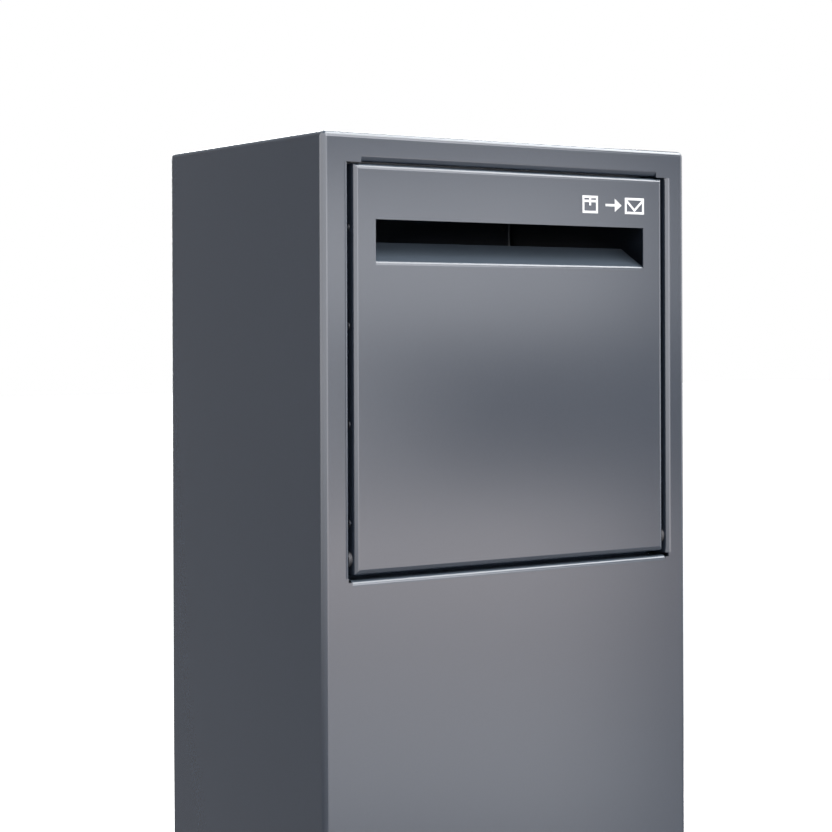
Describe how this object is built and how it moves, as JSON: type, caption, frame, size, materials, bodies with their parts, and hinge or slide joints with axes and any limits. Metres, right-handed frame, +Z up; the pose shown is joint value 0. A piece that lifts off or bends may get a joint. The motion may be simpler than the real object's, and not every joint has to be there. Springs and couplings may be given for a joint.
{
  "type": "parcel drop box",
  "caption": "Free-standing sheet-metal parcel box with a tilt-out hopper door that has a letter slot, and a locked collection door at the back.",
  "frame": {"origin": "middle of the base on the ground", "axes": "+Z up, the front with the parcel door faces -Y, +X is to the right as seen from the front"},
  "size_m": [0.4, 0.2722, 1.2],
  "materials": {
    "powder_coat": "satin powder coat, dark blue grey",
    "zinc_steel": "zinc plated",
    "aluminium_rivet": "plain",
    "nylon": "natural",
    "rubber": "matt black",
    "lock_chrome": "polished",
    "white_print": "printed"
  },
  "bodies": {
    "cabinet": {"outer_casing": "powder_coat", "back_panel": "powder_coat", "back_panel_rivets": "aluminium_rivet", "rear_guard": "powder_coat", "rear_guard_rivets": "aluminium_rivet", "base_plate": "powder_coat", "bin_floor_tray": "powder_coat", "bin_floor_mat": "rubber", "closing_stop": "powder_coat", "closing_buffer": "rubber", "pivot_right_pin": "zinc_steel", "pivot_right_nut": "zinc_steel", "pivot_left_pin": "zinc_steel", "pivot_left_nut": "zinc_steel", "rear_pivot_upper_pin": "zinc_steel", "rear_pivot_upper_nut": "zinc_steel", "rear_pivot_lower_pin": "zinc_steel", "rear_pivot_lower_nut": "zinc_steel"},
    "parcel_door": {"door_panel": "powder_coat", "door_symbols": "white_print", "hopper_cheek_right": "powder_coat", "hopper_cheek_left": "powder_coat", "hopper_floor": "powder_coat", "hopper_rivets": "aluminium_rivet", "pivot_right_bush": "nylon", "pivot_left_bush": "nylon", "open_stop_right": "zinc_steel", "open_stop_left": "zinc_steel", "open_buffer_right": "rubber", "open_buffer_left": "rubber"},
    "rear_door": {"rear_door_panel": "powder_coat", "rear_door_stiffener": "powder_coat", "rear_pivot_upper_bush": "nylon", "rear_pivot_lower_bush": "nylon", "lock_body": "lock_chrome", "lock_nut": "zinc_steel"},
    "lock_barrel": {"lock_plug": "lock_chrome", "lock_cam": "zinc_steel", "lock_cam_screw": "zinc_steel"}
  },
  "joints": [
    {"name": "parcel_door_tilt", "type": "hinge", "parent": "cabinet", "child": "parcel_door", "pos_m": [0, -0.126, 0.84], "axis": [1, 0, 0], "range_deg": [0, 60]},
    {"name": "rear_door_swing", "type": "hinge", "parent": "cabinet", "child": "rear_door", "pos_m": [0.145, 0.124, 0.385], "axis": [0, 0, -1], "range_deg": [0, 100]},
    {"name": "lock_turn", "type": "hinge", "parent": "rear_door", "child": "lock_barrel", "pos_m": [-0.13, 0.124, 0.4], "axis": [0, 1, 0], "range_deg": [0, 90]}
  ]
}
